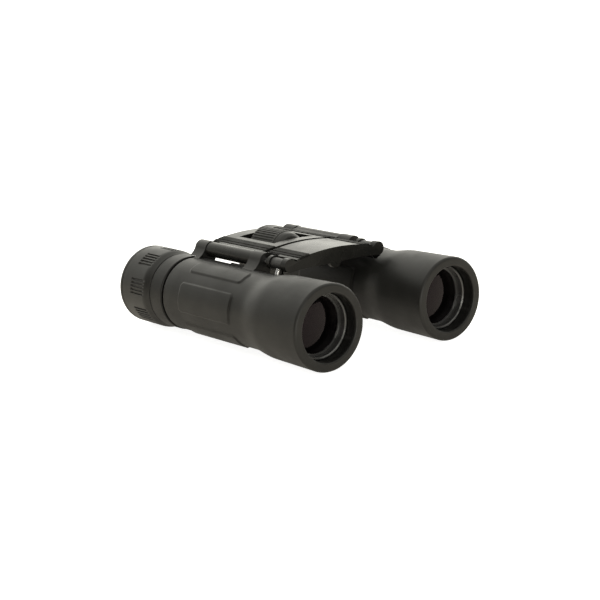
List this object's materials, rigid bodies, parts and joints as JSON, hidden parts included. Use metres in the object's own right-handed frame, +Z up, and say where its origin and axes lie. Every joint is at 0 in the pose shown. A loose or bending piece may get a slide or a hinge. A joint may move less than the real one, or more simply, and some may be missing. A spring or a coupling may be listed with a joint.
{
  "type": "compact binoculars",
  "caption": "Compact folding roof-prism binoculars with two hinged rubber-armoured barrels, an arched bridge, a fluted focus wheel, twist-up eyecups and recessed objectives.",
  "frame": {"origin": "centre of the surface that both bells rest on, midway between the barrels and midway along them", "axes": "+Z up from the rest surface, -Y towards the objectives, +X towards the user's left barrel"},
  "size_m": [0.109, 0.131, 0.0464],
  "materials": {
    "bridge_shell": "satin black paint with a fine speckle",
    "base_plate": "matte black",
    "grip_rubber": "ribbed matte rubber",
    "screw_steel": "blackened heads, bright slots",
    "bright_steel": "polished",
    "brass": "machined",
    "wheel_plastic": "satin",
    "wheel_rubber": "fluted rubber",
    "tube_plastic": "satin moulded black",
    "armour_rubber": "matte rubber armour",
    "collar_plastic": "satin",
    "cell_black": "black anodised, baffled inside",
    "coated_glass": "coated optical glass",
    "prism_glass": "polished prism glass",
    "inner_black": "matte black",
    "clamp_steel": "spring steel",
    "eyepiece_plastic": "satin black",
    "ring_plastic": "soft-touch satin",
    "cup_rubber": "matte soft rubber"
  },
  "bodies": {
    "bridge": {"rear_bridge": "bridge_shell", "rear_base_plate": "base_plate", "rear_grip_strips": "grip_rubber", "rear_screws": "screw_steel"},
    "focus_wheel": {"focus_wheel": "wheel_plastic", "focus_wheel_grip": "wheel_rubber", "focus_screw": "bright_steel", "focus_screw_clip": "clamp_steel"},
    "front_bridge": {"front_bridge": "bridge_shell", "front_base_plate": "base_plate", "front_grip_strips": "grip_rubber", "front_screws": "screw_steel", "focus_nut": "brass"},
    "right_barrel": {"right_tube": "tube_plastic", "right_armour": "armour_rubber", "right_hinge_shaft": "bright_steel", "right_hinge_washer": "clamp_steel", "right_prism_cage": "inner_black", "right_prism_clamp": "clamp_steel", "right_half_penta_prism": "prism_glass", "right_roof_prism": "prism_glass"},
    "right_focus_cell": {"right_focus_collar": "collar_plastic", "right_link_pin": "bright_steel", "right_objective_cell": "cell_black", "right_objective_crown": "coated_glass", "right_objective_flint": "coated_glass", "right_lens_ring": "cell_black"},
    "right_dioptre_ring": {"right_dioptre_ring": "ring_plastic"},
    "right_eyepiece": {"right_eyepiece_tube": "eyepiece_plastic", "right_field_lens": "coated_glass", "right_eye_lens": "coated_glass"},
    "right_eyecup_sleeve": {"right_eyecup_sleeve": "inner_black"},
    "right_eyecup": {"right_eyecup": "cup_rubber"},
    "left_barrel": {"left_tube": "tube_plastic", "left_armour": "armour_rubber", "left_hinge_shaft": "bright_steel", "left_hinge_washer": "clamp_steel", "left_prism_cage": "inner_black", "left_prism_clamp": "clamp_steel", "left_half_penta_prism": "prism_glass", "left_roof_prism": "prism_glass", "left_eyepiece_tube": "eyepiece_plastic", "left_field_lens": "coated_glass", "left_eye_lens": "coated_glass", "left_collar_ring": "ring_plastic"},
    "left_focus_cell": {"left_focus_collar": "collar_plastic", "left_link_pin": "bright_steel", "left_objective_cell": "cell_black", "left_objective_crown": "coated_glass", "left_objective_flint": "coated_glass", "left_lens_ring": "cell_black"},
    "left_eyecup_sleeve": {"left_eyecup_sleeve": "inner_black"},
    "left_eyecup": {"left_eyecup": "cup_rubber"}
  },
  "joints": [
    {"name": "focus_wheel_turn", "type": "hinge", "parent": "bridge", "child": "focus_wheel", "pos_m": [0, 0, 0.0374], "axis": [0, 1, 0], "range_deg": [-137.6, 343.8]},
    {"name": "front_bridge_slide", "type": "slide", "parent": "bridge", "child": "front_bridge", "axis": [0, -1, 0], "range_m": [-0.0012, 0.003]},
    {"name": "right_barrel_fold", "type": "hinge", "parent": "bridge", "child": "right_barrel", "pos_m": [-0.026, 0, 0.0388], "axis": [0, -1, 0], "range_deg": [0, 43]},
    {"name": "right_objective_focus", "type": "slide", "parent": "right_barrel", "child": "right_focus_cell", "axis": [0, -1, 0], "range_m": [-0.0012, 0.003]},
    {"name": "right_eyecup_twist", "type": "hinge", "parent": "right_barrel", "child": "right_eyecup_sleeve", "pos_m": [-0.0355, 0, 0.019], "axis": [0, 1, 0], "range_deg": [0, 120]},
    {"name": "right_eyecup_rise", "type": "slide", "parent": "right_eyecup_sleeve", "child": "right_eyecup", "axis": [0, 1, 0], "range_m": [0, 0.007]},
    {"name": "left_barrel_fold", "type": "hinge", "parent": "bridge", "child": "left_barrel", "pos_m": [0.026, 0, 0.0388], "axis": [0, 1, 0], "range_deg": [0, 43]},
    {"name": "left_objective_focus", "type": "slide", "parent": "left_barrel", "child": "left_focus_cell", "axis": [0, -1, 0], "range_m": [-0.0012, 0.003]},
    {"name": "left_eyecup_twist", "type": "hinge", "parent": "left_barrel", "child": "left_eyecup_sleeve", "pos_m": [0.0355, 0, 0.019], "axis": [0, 1, 0], "range_deg": [0, 120]},
    {"name": "left_eyecup_rise", "type": "slide", "parent": "left_eyecup_sleeve", "child": "left_eyecup", "axis": [0, 1, 0], "range_m": [0, 0.007]},
    {"name": "right_dioptre_turn", "type": "hinge", "parent": "right_barrel", "child": "right_dioptre_ring", "pos_m": [-0.0355, 0, 0.019], "axis": [0, 1, 0], "range_deg": [-40, 40]},
    {"name": "right_eyepiece_slide", "type": "slide", "parent": "right_barrel", "child": "right_eyepiece", "axis": [0, 1, 0], "range_m": [-0.0008, 0.0008]}
  ],
  "couplings": [
    {"joint": "focus_wheel_turn", "follows": "front_bridge_slide", "rad_per_m": 2000},
    {"joint": "right_objective_focus", "follows": "front_bridge_slide", "ratio": 1},
    {"joint": "right_eyecup_rise", "follows": "right_eyecup_twist", "m_per_rad": 0.0033},
    {"joint": "left_objective_focus", "follows": "front_bridge_slide", "ratio": 1},
    {"joint": "left_eyecup_rise", "follows": "left_eyecup_twist", "m_per_rad": 0.0033},
    {"joint": "right_eyepiece_slide", "follows": "right_dioptre_turn", "m_per_rad": 0.001}
  ]
}
